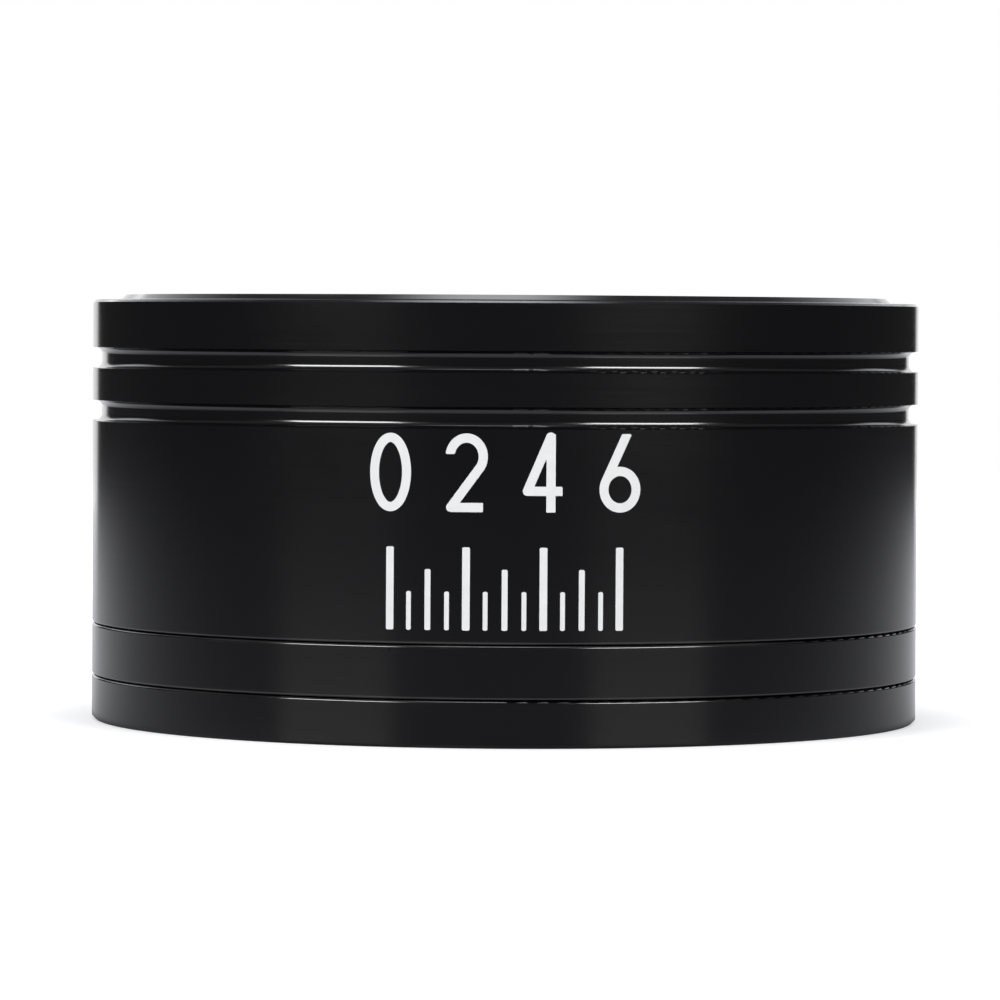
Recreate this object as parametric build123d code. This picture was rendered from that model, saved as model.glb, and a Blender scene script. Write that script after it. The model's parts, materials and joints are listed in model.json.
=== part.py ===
from build123d import *
import math
import os

# Barlow lens for a large telescope, standing on its camera end.
# The optical axis is +Z with the camera end at Z = 0, and the printed side of the barrel faces -Y.
# The drawtube and its end ring stay with the camera.  The barrel, which carries the lens cell,
# slides along the drawtube without turning: keys in its guide ring run in slots of the drawtube.
# The adjusting ring turns under the barrel, and its three cam grooves climb on three followers
# of the drawtube, so that turning the ring draws the barrel out.
# All sizes are millimetres and degrees.

# ---- Outside ----
outer_radius = 48.0
overall_height = 48.5  # standing face to the front rim of the barrel
lip_height = 0.6  # how far the front retaining ring stands above that rim
lip_step = 0.15  # the lip is this much smaller in radius than its thread
lip_foot_width = 0.14  # shallow slope round the foot of the lip
lip_foot_height = 0.07
lip_bevel = 0.5  # width of the bevel from that foot up to the lip's top face
seam_gap = 0.1
seam_edge_radius = 0.28  # rounding of the outside edges at both seams
rim_chamfer = 0.35
foot_chamfer = 0.4
bore_chamfer = 0.3
grip_groove_drops = (6.68, 12.75)  # groove centres below the rim
grip_groove_width = 2.4
grip_groove_depth = 1.05
grip_groove_corner = 0.8

# ---- Clearances ----
running_gap = 0.08  # radial, between pieces that slide or turn on each other
seat_gap = 0.05  # radial, between a piece and the bore that it drops into
end_play = 0.05  # axial freedom of the adjusting ring
thrust_gap = 0.03
nut_gap = 0.1  # radial, between the captive nut and the barrel
track_gap = 0.05  # each side of a key or a follower in its track
tip_gap = 0.1  # between the end of a key or a follower and the floor of its track

# ---- Motion ----
travel = 6.0
ring_turn = 30.0
cam_angles = (30.0, 150.0, 270.0)
key_angles = (90.0, 210.0, 330.0)
stop_angle = 90.0
index_angle = -105.0

# ---- Barrel ----
barrel_wall = 3.6
web_thickness = 3.0
guide_shoulder = 1.0
front_thread_step = 0.6
front_thread_depth = 4.5

# ---- Adjusting ring and what holds it ----
adjusting_ring_height = 5.9
nut_wall = 1.8
nut_height = 2.7
nut_notches = 4
nut_notch_width = 2.4
nut_notch_depth = 1.0
lock_screws = 3
lock_screw_radius = 0.8
thread_shoulder = 0.5
sleeve_wall = 2.72
washer_recess = 0.3
lower_washer_width = 1.95
upper_washer_thickness = 0.45
stop_pin_radius = 1.0
stop_pin_inset = 2.4  # pin axis in from the outside
stop_pin_reach = 1.6  # into the adjusting ring
stop_pin_hold = 2.5  # into the barrel
stop_slot_floor_gap = 0.2
stop_slot_side_gap = 0.06
stop_slot_end_gap = 0.2
index_notch_width = 0.6
index_notch_depth = 0.15
index_notch_height = 0.9

# ---- Drawtube ----
end_ring_height = 5.15
tail_step = 0.7  # drawtube body down to the thread that takes the end ring
tail_recess = 0.3  # drawtube end above the standing face
camera_wall = 3.6  # drawtube outside to the crests of the camera thread
camera_thread_length = 6.0
camera_thread_pitch = 0.75
camera_thread_depth = 0.4
camera_lead = 0.5
lower_bore_wall = 3.0
upper_bore_wall = 2.4
light_groove_pitch = 0.8
light_groove_depth = 0.3
light_groove_margin = 1.0
crest_share = 0.3  # part of each groove's pitch that is left as a flat crest
drawtube_margin = 0.3  # drawtube past the keys when the barrel is fully out
drawtube_chamfer = 0.3
baffle_depth = 6.9  # drawtube top down to the baffle's seat
baffle_thickness = 1.2
baffle_lip = 2.2  # drawtube's lower bore in to the baffle's edge
baffle_edge = 0.3
snap_ring_thickness = 0.7
snap_ring_width = 1.25
snap_ring_seat = 0.5
snap_ring_opening = 24.0
cam_pin_radius = 1.5
cam_pin_reach = 1.3  # past the drawtube's outside
cam_pin_recess = 0.4  # inner end behind the bore's wall
cam_top_margin = 1.4  # wall above the highest point of a cam groove
key_slot_depth = 1.2
end_key_radius = 1.0
end_key_length = 4.0
end_key_recess = 0.5
end_keys = 3
end_key_angle = 60.0
socket_across_flats = 0.9
socket_depth = 1.0
spanner_pocket_width = 2.5
spanner_pocket_length = 4.0
spanner_pocket_depth = 1.5
spanner_pocket_inset = 6.0  # pocket centre in from the outside

# ---- Guide ring ----
guide_ring_lift = 0.4  # above the captive nut
guide_ring_height = 3.2
felt_height = 1.0
felt_width = 1.72
key_width = 3.0
key_height = 1.8
key_seat = 3.7  # key length inside the guide ring

# ---- Lens cell ----
spacer_wall = 2.05
cell_gap = 0.3
cell_wall = 5.05
cell_flange = 3.0
cell_rim_height = 2.8
cell_rim_wall = 2.3
cell_thread_step = 0.65
cell_lip = 1.4
cell_chamfer = 0.8
cell_ring_recess = 0.5
cell_ring_height = 2.4
cell_ring_bevel = 0.8
cell_ring_width = 2.4
o_ring_thickness = 1.0
o_ring_inset = 0.6  # o-ring centre line in from the glass edge
glass_gap = 0.05
glass_bevel = 0.25
ground_edge = 1.3  # flat ground border of each glass
seat_width = 1.9  # cell lip under the glass
crown_centre = 2.6
crown_front_curve = 220.0
crown_rear_curve = 150.0
flint_centre = 5.2
flint_front_curve = 148.0
flint_rear_curve = 420.0
element_air_gap = 0.3
spacer_ring_width = 1.0

# ---- Front retaining ring ----
gasket_thickness = 0.3
gasket_margin = 0.15
front_ring_gap = 0.2  # around the rim of the lens cell
front_land = 1.0  # top face of the lip
filter_thread_pitch = 0.75
filter_thread_depth = 0.35
filter_lead = 0.35
front_slot_width = 2.6
front_slot_depth = 1.3
cell_slot_width = 2.0
cell_slot_depth = 1.2

# ---- Radii that follow ----
barrel_bore = outer_radius - barrel_wall
front_thread_radius = barrel_bore + front_thread_step
nut_bore = barrel_bore - guide_shoulder
nut_radius = nut_bore - nut_gap
nut_thread_radius = nut_radius - nut_wall
sleeve_radius = nut_thread_radius + thread_shoulder
web_bore = sleeve_radius + running_gap
sleeve_bore = sleeve_radius - sleeve_wall
drawtube_radius = sleeve_bore - running_gap
tail_radius = drawtube_radius - tail_step
camera_thread_radius = drawtube_radius - camera_wall
lower_bore = drawtube_radius - lower_bore_wall
upper_bore = drawtube_radius - upper_bore_wall
cam_tip_radius = drawtube_radius + cam_pin_reach
cam_floor_radius = cam_tip_radius + tip_gap
key_floor_radius = drawtube_radius - key_slot_depth
key_tip_radius = key_floor_radius + tip_gap
key_end_radius = sleeve_bore + key_seat
stop_pin_circle = outer_radius - stop_pin_inset
insert_radius = barrel_bore - seat_gap
spacer_bore = insert_radius - spacer_wall
cell_radius = spacer_bore - cell_gap
cell_bore = cell_radius - cell_wall
cell_thread_radius = cell_bore + cell_thread_step
cell_rim_radius = cell_thread_radius + cell_rim_wall
cell_aperture = cell_bore - glass_gap - seat_width
glass_radius = cell_bore - glass_gap
curve_radius = glass_radius - ground_edge
front_ring_bore = cell_rim_radius + front_ring_gap
lip_radius = front_thread_radius - lip_step
filter_radius = lip_radius - front_land - filter_thread_depth

# ---- Heights that follow, from the standing face up ----
ring_bottom = end_ring_height + seam_gap
ring_top = ring_bottom + adjusting_ring_height
barrel_bottom = ring_top + seam_gap
web_top = barrel_bottom + web_thickness
sleeve_shoulder = web_top + end_play
nut_bottom = sleeve_shoulder + upper_washer_thickness
sleeve_top = nut_bottom + nut_height
guide_bottom = sleeve_top + guide_ring_lift
guide_top = guide_bottom + guide_ring_height
key_bottom = guide_top - key_height
cam_pin_height = sleeve_top - cam_top_margin - cam_pin_radius
drawtube_top = guide_top + travel + drawtube_margin
baffle_seat = drawtube_top - baffle_depth
baffle_top = baffle_seat + baffle_thickness
camera_thread_top = tail_recess + camera_lead + camera_thread_length
lip_top = overall_height + lip_height
flange_top = overall_height - front_thread_depth
flange_bottom = flange_top - cell_flange
front_ring_bottom = flange_top + gasket_thickness
cell_rim_top = flange_top + cell_rim_height
cell_ring_top = cell_rim_top - cell_ring_recess
cell_ring_bottom = cell_ring_top - cell_ring_height
crown_top = cell_ring_bottom - o_ring_thickness


def sag(curve, radius):
    """Depth of a spherical surface at a radius from the axis."""
    return curve - math.sqrt(curve**2 - radius**2)


crown_edge = crown_centre + sag(crown_front_curve, curve_radius) + sag(crown_rear_curve, curve_radius)
crown_bottom = crown_top - crown_edge
flint_edge = flint_centre - sag(flint_front_curve, curve_radius) + sag(flint_rear_curve, curve_radius)
flint_top = crown_bottom - element_air_gap
flint_bottom = flint_top - flint_edge
cell_bottom = flint_bottom - cell_lip


# ---- Ways of making a shape ----
def turned(points):
    """A solid turned on the optical axis from a closed outline of (radius, height) points."""
    outline = make_face(Polyline(points, close=True))
    return revolve(Plane.XZ * outline, Axis.Z)


def ring(outer, inner, bottom, top):
    """A plain ring with square edges."""
    return turned([(inner, bottom), (outer, bottom), (outer, top), (inner, top)])


def round_seam_edges(body, *heights):
    """The piece with its outside edge rounded at each of these heights."""
    circles = body.edges().filter_by(GeomType.CIRCLE)
    edges = [
        edge
        for edge in circles
        if abs(edge.radius - outer_radius) < 0.001
        and any(abs(edge.center().Z - height) < 0.001 for height in heights)
    ]
    return fillet(edges, seam_edge_radius)


def groove_points(crest, root, low, high, pitch):
    """The wall of a bore from low to high with V grooves cut in it, as outline points."""
    flat = pitch * crest_share
    points = []
    for groove in range(int((high - low) / pitch + 0.001)):
        start = low + groove * pitch
        points.append((crest, start + flat / 2))
        points.append((root, start + pitch / 2))
        points.append((crest, start + pitch - flat / 2))
    return points


def radial_pin(radius, inner, outer, height):
    """A round pin pointing outwards along +X."""
    length = outer - inner
    pin = Cylinder(radius, length, align=(Align.CENTER, Align.CENTER, Align.MIN))
    return Pos(inner, 0, height) * Rot(0, 90, 0) * pin


def radial_bar(width, inner, outer, bottom, top):
    """A rectangular bar pointing outwards along +X."""
    length = outer - inner
    bar = Box(length, width, top - bottom, align=(Align.MIN, Align.CENTER, Align.MIN))
    return Pos(inner, 0, bottom) * bar


def around(shape, angles):
    """Copies of a shape turned to each angle about the optical axis."""
    return [Rot(0, 0, angle) * shape for angle in angles]


def evenly(count, first=0.0):
    """Angles spread evenly round the axis."""
    return [first + 360.0 * place / count for place in range(count)]


def socket_screw(radius, length):
    """A set screw standing on its tip at the origin, with its hexagon socket facing down at -length."""
    body = Cylinder(radius, length, align=(Align.CENTER, Align.CENTER, Align.MAX))
    hexagon = RegularPolygon(socket_across_flats / 2, 6, major_radius=False)
    socket = Pos(0, 0, -length) * extrude(hexagon, socket_depth)
    return body - socket


def lens(bottom, top, bottom_rise, top_rise):
    """A round glass with flat ground borders.  A rise is how far the centre of a face stands
    above its border, and a negative rise is a hollow top face."""

    def face_arc(height, rise):
        curve = (curve_radius**2 + rise**2) / (2 * abs(rise))
        half_way = abs(rise) - sag(curve, curve_radius / 2)
        middle = height + math.copysign(half_way, rise)
        return ThreePointArc((0, height + rise), (curve_radius / 2, middle), (curve_radius, height))

    rim = Polyline(
        (curve_radius, bottom),
        (glass_radius - glass_bevel, bottom),
        (glass_radius, bottom + glass_bevel),
        (glass_radius, top - glass_bevel),
        (glass_radius - glass_bevel, top),
        (curve_radius, top),
    )
    axis_line = Line((0, bottom + bottom_rise), (0, top + top_rise))
    outline = make_face([face_arc(bottom, bottom_rise), rim, face_arc(top, top_rise), axis_line])
    return revolve(Plane.XZ * outline, Axis.Z)


# ---- Drawtube and what stays with it ----
def make_drawtube():
    """Tube that the camera screws into, with slots for the keys and holes for the followers."""
    camera_thread = groove_points(
        camera_thread_radius,
        camera_thread_radius + camera_thread_depth,
        tail_recess + camera_lead,
        camera_thread_top,
        camera_thread_pitch,
    )
    light_grooves = groove_points(
        lower_bore,
        lower_bore + light_groove_depth,
        camera_thread_top + light_groove_margin,
        baffle_seat - light_groove_margin,
        light_groove_pitch,
    )
    snap_groove = upper_bore + snap_ring_seat
    inside = [
        (camera_thread_radius + camera_lead, tail_recess),
        (camera_thread_radius, tail_recess + camera_lead),
        *camera_thread,
        (camera_thread_radius, camera_thread_top),
        (lower_bore, camera_thread_top),
        *light_grooves,
        (lower_bore, baffle_seat),
        (upper_bore, baffle_seat),
        (upper_bore, baffle_top),
        (snap_groove, baffle_top),
        (snap_groove, baffle_top + snap_ring_thickness),
        (upper_bore, baffle_top + snap_ring_thickness),
        (upper_bore, drawtube_top),
    ]
    outside = [
        (drawtube_radius - drawtube_chamfer, drawtube_top),
        (drawtube_radius, drawtube_top - drawtube_chamfer),
        (drawtube_radius, end_ring_height),
        (tail_radius, end_ring_height),
        (tail_radius, tail_recess),
    ]
    tube = turned(inside + outside)
    follower_hole = radial_pin(cam_pin_radius, lower_bore - 1, drawtube_radius + 1, cam_pin_height)
    slot_width = key_width + 2 * track_gap
    slot_bottom = key_bottom - drawtube_margin
    key_slot = radial_bar(slot_width, key_floor_radius, drawtube_radius + 1, slot_bottom, drawtube_top + 1)
    tube -= around(follower_hole, cam_angles)
    tube -= around(key_slot, key_angles)
    return tube - end_key_holes()


def end_key_holes():
    """Holes for the three set screws, half in the drawtube and half in the end ring."""
    depth = end_key_recess + end_key_length
    hole = Cylinder(end_key_radius, depth, align=(Align.CENTER, Align.CENTER, Align.MIN))
    return around(Pos(tail_radius, 0, 0) * hole, evenly(end_keys, end_key_angle))


def make_end_ring():
    """Ring that the assembly stands on, screwed to the tail of the drawtube."""
    body = turned(
        [
            (tail_radius + foot_chamfer, 0),
            (outer_radius - foot_chamfer, 0),
            (outer_radius, foot_chamfer),
            (outer_radius, end_ring_height),
            (tail_radius, end_ring_height),
            (tail_radius, foot_chamfer),
        ]
    )
    body = round_seam_edges(body, end_ring_height)
    pocket_outline = SlotOverall(spanner_pocket_length, spanner_pocket_width)
    pocket = Pos(outer_radius - spanner_pocket_inset, 0, 0) * extrude(pocket_outline, spanner_pocket_depth)
    body -= around(pocket, evenly(2))
    return body - end_key_holes()


def make_end_ring_keys():
    """Set screws that stop the end ring from unscrewing."""
    tip_height = end_key_recess + end_key_length
    screw = Pos(tail_radius, 0, tip_height) * socket_screw(end_key_radius, end_key_length)
    return around(screw, evenly(end_keys, end_key_angle))


def make_drawtube_baffle():
    """Knife-edged disc that stops stray light, dropped on its seat from the top of the drawtube."""
    edge = lower_bore - baffle_lip
    return turned(
        [
            (edge, baffle_seat),
            (upper_bore - seat_gap, baffle_seat),
            (upper_bore - seat_gap, baffle_top),
            (lower_bore, baffle_top),
            (edge, baffle_seat + baffle_edge),
        ]
    )


def make_baffle_snap_ring():
    """Open spring ring that holds the baffle on its seat."""
    outer = upper_bore + snap_ring_seat - seat_gap
    full = ring(outer, outer - snap_ring_width, baffle_top, baffle_top + snap_ring_thickness)
    half_opening = math.radians(snap_ring_opening / 2)
    opening = radial_bar(
        2 * upper_bore * math.sin(half_opening),
        0,
        outer + 1,
        baffle_top - 1,
        baffle_top + snap_ring_thickness + 1,
    )
    return full - opening


def make_cam_followers():
    """Pins pressed into the drawtube that ride in the cam grooves."""
    pin = radial_pin(cam_pin_radius, lower_bore + cam_pin_recess, cam_tip_radius, cam_pin_height)
    return around(pin, cam_angles)


# ---- Adjusting ring and what turns with it ----
def cam_groove():
    """Cutter for one cam groove.  It ends at the follower's place at rest, on +X, and starts a
    turn of the ring behind it and one travel lower."""
    half_width = cam_pin_radius + track_gap
    inner = sleeve_bore - 0.5
    start_height = cam_pin_height - travel
    path = Helix(travel * 360 / ring_turn, travel, cam_floor_radius)
    section_place = Plane(origin=path @ 0, x_dir=(1, 0, 0), z_dir=path % 0)
    section = Rectangle(cam_floor_radius - inner, 2 * half_width, align=(Align.MAX, Align.CENTER))
    track = sweep(section_place * section, path, is_frenet=True)
    track = Rot(0, 0, -ring_turn) * Pos(0, 0, start_height) * track
    rest_end = radial_pin(half_width, inner, cam_floor_radius, cam_pin_height)
    out_end = Rot(0, 0, -ring_turn) * radial_pin(half_width, inner, cam_floor_radius, start_height)
    return track + rest_end + out_end


def stop_slot():
    """Cutter for the arc slot that the stop pin runs in.  The pin rests at its upper end."""
    half_width = stop_pin_radius + stop_slot_side_gap
    depth = stop_pin_reach + stop_slot_floor_gap
    end_allowance = math.degrees(stop_slot_end_gap / stop_pin_circle)
    floor = ring_top - depth
    band = ring(stop_pin_circle + half_width, stop_pin_circle - half_width, floor, ring_top + 1)
    wedge = Cylinder(
        outer_radius + 1,
        depth + 1,
        arc_size=ring_turn + 2 * end_allowance,
        align=(Align.NONE, Align.NONE, Align.MIN),
    )
    arc = band & (Rot(0, 0, -ring_turn - end_allowance) * Pos(0, 0, floor) * wedge)
    end = Cylinder(half_width, depth + 1, align=(Align.CENTER, Align.CENTER, Align.MIN))
    end = Pos(stop_pin_circle, 0, floor) * end
    ends = around(end, (end_allowance, -ring_turn - end_allowance))
    return arc + ends


def make_adjusting_ring():
    """Turning ring with a sleeve that goes up inside the barrel and holds the cam grooves."""
    recess_radius = sleeve_radius + seat_gap + lower_washer_width + seat_gap
    body = turned(
        [
            (sleeve_bore, ring_bottom),
            (outer_radius, ring_bottom),
            (outer_radius, ring_top),
            (recess_radius, ring_top),
            (recess_radius, ring_top - washer_recess),
            (sleeve_radius, ring_top - washer_recess),
            (sleeve_radius, sleeve_shoulder),
            (nut_thread_radius, sleeve_shoulder),
            (nut_thread_radius, sleeve_top),
            (sleeve_bore, sleeve_top),
        ]
    )
    body = round_seam_edges(body, ring_bottom, ring_top)
    body -= around(cam_groove(), cam_angles)
    body -= Rot(0, 0, stop_angle) * stop_slot()
    notch_outline = Polyline(
        (outer_radius - index_notch_depth, 0),
        (outer_radius + 1, -index_notch_width),
        (outer_radius + 1, index_notch_width),
        close=True,
    )
    notch = extrude(make_face(notch_outline), index_notch_height + 1)
    return body - Rot(0, 0, index_angle) * Pos(0, 0, ring_top - index_notch_height) * notch


def make_captive_nut():
    """Ring nut that holds the adjusting ring under the barrel's web."""
    body = ring(nut_radius, nut_thread_radius, nut_bottom, sleeve_top)
    notch_floor = sleeve_top - nut_notch_depth
    notch = radial_bar(
        nut_notch_width, nut_thread_radius - 1, nut_radius + 1, notch_floor, sleeve_top + 1
    )
    body -= around(notch, evenly(nut_notches))
    return body - around(nut_screw_blank(), evenly(lock_screws, nut_screw_angle()))


def nut_screw_angle():
    """The lock screws start half way between two spanner notches."""
    return 180.0 / nut_notches


def nut_screw_blank():
    """The hole, and the outline, of one lock screw through the captive nut."""
    height = (nut_bottom + sleeve_top - nut_notch_depth) / 2
    return radial_pin(lock_screw_radius, nut_thread_radius, nut_radius, height)


def make_nut_lock_screws():
    """Set screws through the nut that bear on the sleeve's thread."""
    height = (nut_bottom + sleeve_top - nut_notch_depth) / 2
    length = nut_radius - nut_thread_radius - seat_gap
    body = radial_pin(lock_screw_radius, nut_thread_radius, nut_thread_radius + length, height)
    hexagon = RegularPolygon(socket_across_flats / 2, 6, major_radius=False)
    socket = extrude(hexagon, socket_depth / 2)
    socket = Pos(nut_thread_radius + length, 0, height) * Rot(0, -90, 0) * socket
    return around(body - socket, evenly(lock_screws, nut_screw_angle()))


def make_lower_thrust_washer():
    """Slippery washer between the adjusting ring and the barrel's lower face."""
    inner = sleeve_radius + seat_gap
    return ring(inner + lower_washer_width, inner, ring_top - washer_recess, barrel_bottom - thrust_gap)


def make_upper_thrust_washer():
    """Slippery washer between the barrel's web and the captive nut."""
    return ring(nut_radius, nut_thread_radius, sleeve_shoulder, nut_bottom)


# ---- Barrel and what slides with it ----
def grip_groove(height):
    """Cutter for one round-bottomed groove in the outside of the barrel."""
    outline = Rectangle(2 * grip_groove_depth, grip_groove_width)
    outline = fillet(outline.vertices().group_by(Axis.X)[0], grip_groove_corner)
    return revolve(Plane.XZ * Pos(outer_radius, height) * outline, Axis.Z)


def make_main_barrel():
    """Outer barrel, with the web that the adjusting ring hangs from."""
    barrel = turned(
        [
            (web_bore, barrel_bottom),
            (outer_radius, barrel_bottom),
            (outer_radius, overall_height - rim_chamfer),
            (outer_radius - rim_chamfer, overall_height),
            (front_thread_radius + bore_chamfer, overall_height),
            (front_thread_radius, overall_height - bore_chamfer),
            (front_thread_radius, flange_top),
            (barrel_bore, flange_top),
            (barrel_bore, guide_bottom),
            (nut_bore, guide_bottom),
            (nut_bore, web_top),
            (web_bore, web_top),
        ]
    )
    barrel = round_seam_edges(barrel, barrel_bottom)
    barrel -= [grip_groove(overall_height - drop) for drop in grip_groove_drops]
    pin_hole = Cylinder(stop_pin_radius, stop_pin_hold, align=(Align.CENTER, Align.CENTER, Align.MIN))
    return barrel - Rot(0, 0, stop_angle) * Pos(stop_pin_circle, 0, barrel_bottom) * pin_hole


def make_stop_pin():
    """Pin pressed into the barrel that limits how far the adjusting ring turns."""
    length = stop_pin_hold + barrel_bottom - ring_top + stop_pin_reach
    pin = Cylinder(stop_pin_radius, length, align=(Align.CENTER, Align.CENTER, Align.MIN))
    return Rot(0, 0, stop_angle) * Pos(stop_pin_circle, 0, ring_top - stop_pin_reach) * pin


def make_guide_ring():
    """Ring that centres the barrel on the drawtube and holds the keys and the felt."""
    felt_radius = sleeve_bore + felt_width
    body = turned(
        [
            (felt_radius, guide_bottom),
            (insert_radius, guide_bottom),
            (insert_radius, guide_top),
            (sleeve_bore, guide_top),
            (sleeve_bore, guide_bottom + felt_height),
            (felt_radius, guide_bottom + felt_height),
        ]
    )
    seat = radial_bar(key_width, sleeve_bore - 1, key_end_radius, key_bottom, guide_top + 1)
    return body - around(seat, key_angles)


def make_guide_keys():
    """Keys that keep the barrel from turning on the drawtube."""
    key = radial_bar(key_width, key_tip_radius, key_end_radius, key_bottom, guide_top)
    return around(key, key_angles)


def make_felt_seal():
    """Felt ring that keeps dust and light out of the sliding fit."""
    return ring(sleeve_bore + felt_width, sleeve_bore, guide_bottom, guide_bottom + felt_height)


def make_spacer_sleeve():
    """Sleeve between the guide ring and the flange of the lens cell."""
    return ring(insert_radius, spacer_bore, guide_top, flange_bottom)


def make_lens_cell():
    """Cell that holds both glasses, hung from its flange inside the barrel."""
    return turned(
        [
            (cell_aperture, cell_bottom),
            (cell_radius - cell_chamfer, cell_bottom),
            (cell_radius, cell_bottom + cell_chamfer),
            (cell_radius, flange_bottom),
            (insert_radius, flange_bottom),
            (insert_radius, flange_top),
            (cell_rim_radius, flange_top),
            (cell_rim_radius, cell_rim_top - bore_chamfer),
            (cell_rim_radius - bore_chamfer, cell_rim_top),
            (cell_thread_radius + bore_chamfer, cell_rim_top),
            (cell_thread_radius, cell_rim_top - bore_chamfer),
            (cell_thread_radius, cell_ring_bottom - cell_ring_recess),
            (cell_bore, cell_ring_bottom - cell_ring_recess),
            (cell_bore, flint_bottom),
            (cell_aperture, flint_bottom),
        ]
    )


def make_cell_retaining_ring():
    """Threaded ring that holds the glasses in the cell, with two spanner slots."""
    inner = cell_thread_radius - cell_ring_width
    body = turned(
        [
            (inner, cell_ring_bottom),
            (cell_thread_radius, cell_ring_bottom),
            (cell_thread_radius, cell_ring_top),
            (inner + cell_ring_bevel, cell_ring_top),
        ]
    )
    slot_floor = cell_ring_top - cell_slot_depth
    slot = radial_bar(cell_slot_width, inner - 1, cell_thread_radius + 1, slot_floor, cell_ring_top + 1)
    return body - around(slot, evenly(2))


def make_cell_o_ring():
    """Rubber ring between the retaining ring and the front glass."""
    centre = Pos(glass_radius - o_ring_inset, crown_top + o_ring_thickness / 2)
    return revolve(Plane.XZ * centre * Circle(o_ring_thickness / 2), Axis.Z)


def make_crown_element():
    """Front glass, hollow on both faces."""
    rear_rise = sag(crown_rear_curve, curve_radius)
    front_rise = -sag(crown_front_curve, curve_radius)
    return lens(crown_bottom, crown_top, rear_rise, front_rise)


def make_flint_element():
    """Rear glass, a meniscus whose bulging face follows the front glass."""
    rear_rise = sag(flint_rear_curve, curve_radius)
    front_rise = sag(flint_front_curve, curve_radius)
    return lens(flint_bottom, flint_top, rear_rise, front_rise)


def make_element_spacer():
    """Thin ring that sets the air gap between the glasses."""
    outer = glass_radius - glass_bevel
    return ring(outer, outer - spacer_ring_width, flint_top, crown_bottom)


def make_front_gasket():
    """Fibre ring between the flange of the cell and the front retaining ring."""
    outer = insert_radius - gasket_margin
    return ring(outer, front_ring_bore, flange_top, front_ring_bottom)


def make_front_retaining_ring():
    """Threaded ring that clamps everything in the barrel and stands above the rim as a lip."""
    floor = cell_rim_top
    filter_thread = groove_points(
        filter_radius,
        filter_radius + filter_thread_depth,
        floor,
        lip_top - filter_lead,
        filter_thread_pitch,
    )
    body = turned(
        [
            (front_ring_bore, front_ring_bottom),
            (front_thread_radius, front_ring_bottom),
            (front_thread_radius, overall_height - bore_chamfer),
            (lip_radius, overall_height - bore_chamfer + lip_step),
            (lip_radius, overall_height),
            (lip_radius - lip_foot_width, overall_height + lip_foot_height),
            (lip_radius - lip_foot_width - lip_bevel, lip_top),
            (filter_radius + filter_lead, lip_top),
            (filter_radius, lip_top - filter_lead),
            *reversed(filter_thread),
            (filter_radius, floor),
            (front_ring_bore, floor),
        ]
    )
    slot_bottom = floor - front_slot_depth
    slot = radial_bar(front_slot_width, front_ring_bore - 1, filter_radius, slot_bottom, floor + 1)
    return body - around(slot, evenly(2, 90.0))


nodes = {
    "drawtube": make_drawtube(),
    "end_ring": make_end_ring(),
    "end_ring_keys": make_end_ring_keys(),
    "drawtube_baffle": make_drawtube_baffle(),
    "baffle_snap_ring": make_baffle_snap_ring(),
    "cam_followers": make_cam_followers(),
    "adjusting_ring": make_adjusting_ring(),
    "captive_nut": make_captive_nut(),
    "nut_lock_screws": make_nut_lock_screws(),
    "lower_thrust_washer": make_lower_thrust_washer(),
    "upper_thrust_washer": make_upper_thrust_washer(),
    "main_barrel": make_main_barrel(),
    "stop_pin": make_stop_pin(),
    "guide_ring": make_guide_ring(),
    "guide_keys": make_guide_keys(),
    "felt_seal": make_felt_seal(),
    "spacer_sleeve": make_spacer_sleeve(),
    "lens_cell": make_lens_cell(),
    "cell_retaining_ring": make_cell_retaining_ring(),
    "cell_o_ring": make_cell_o_ring(),
    "crown_element": make_crown_element(),
    "flint_element": make_flint_element(),
    "element_spacer": make_element_spacer(),
    "front_gasket": make_front_gasket(),
    "front_retaining_ring": make_front_retaining_ring(),
}

os.makedirs("parts", exist_ok=True)
for name, shape in nodes.items():
    solids = shape if isinstance(shape, list) else [shape]
    node = Compound(children=[solid for piece in solids for solid in piece.solids()])
    node.label = name
    export_step(node, f"parts/{name}.step")
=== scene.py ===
import json
import math

import bmesh
import bpy
import numpy as np
from mathutils import Matrix, Vector


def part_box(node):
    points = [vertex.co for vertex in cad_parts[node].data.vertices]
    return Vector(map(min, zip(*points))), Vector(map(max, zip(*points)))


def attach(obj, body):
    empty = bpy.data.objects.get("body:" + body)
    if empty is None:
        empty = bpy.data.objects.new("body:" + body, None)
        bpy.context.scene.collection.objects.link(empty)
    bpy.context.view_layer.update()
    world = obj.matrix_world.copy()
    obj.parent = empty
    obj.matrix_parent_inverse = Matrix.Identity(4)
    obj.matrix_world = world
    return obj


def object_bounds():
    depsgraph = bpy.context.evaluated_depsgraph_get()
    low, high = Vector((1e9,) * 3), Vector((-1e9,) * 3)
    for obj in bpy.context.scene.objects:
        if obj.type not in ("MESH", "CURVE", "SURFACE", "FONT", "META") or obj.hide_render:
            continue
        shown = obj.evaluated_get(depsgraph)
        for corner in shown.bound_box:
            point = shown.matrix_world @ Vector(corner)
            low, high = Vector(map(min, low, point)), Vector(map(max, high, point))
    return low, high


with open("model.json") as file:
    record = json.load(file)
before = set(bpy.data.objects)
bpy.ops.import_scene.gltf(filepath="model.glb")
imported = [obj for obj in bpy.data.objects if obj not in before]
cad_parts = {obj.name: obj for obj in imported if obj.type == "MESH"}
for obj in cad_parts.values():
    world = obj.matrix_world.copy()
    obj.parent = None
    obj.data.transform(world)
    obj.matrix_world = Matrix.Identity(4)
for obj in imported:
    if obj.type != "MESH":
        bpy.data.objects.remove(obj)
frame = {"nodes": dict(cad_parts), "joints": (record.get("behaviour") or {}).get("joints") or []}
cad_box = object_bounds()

# A Barlow lens in a 96 mm barrel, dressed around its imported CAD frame.
# The optical axis is +Z, the standing face is Z = 0 and the marked side faces -Y.
# Lengths are metres unless a name ends in _mm, and angles are degrees.

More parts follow.
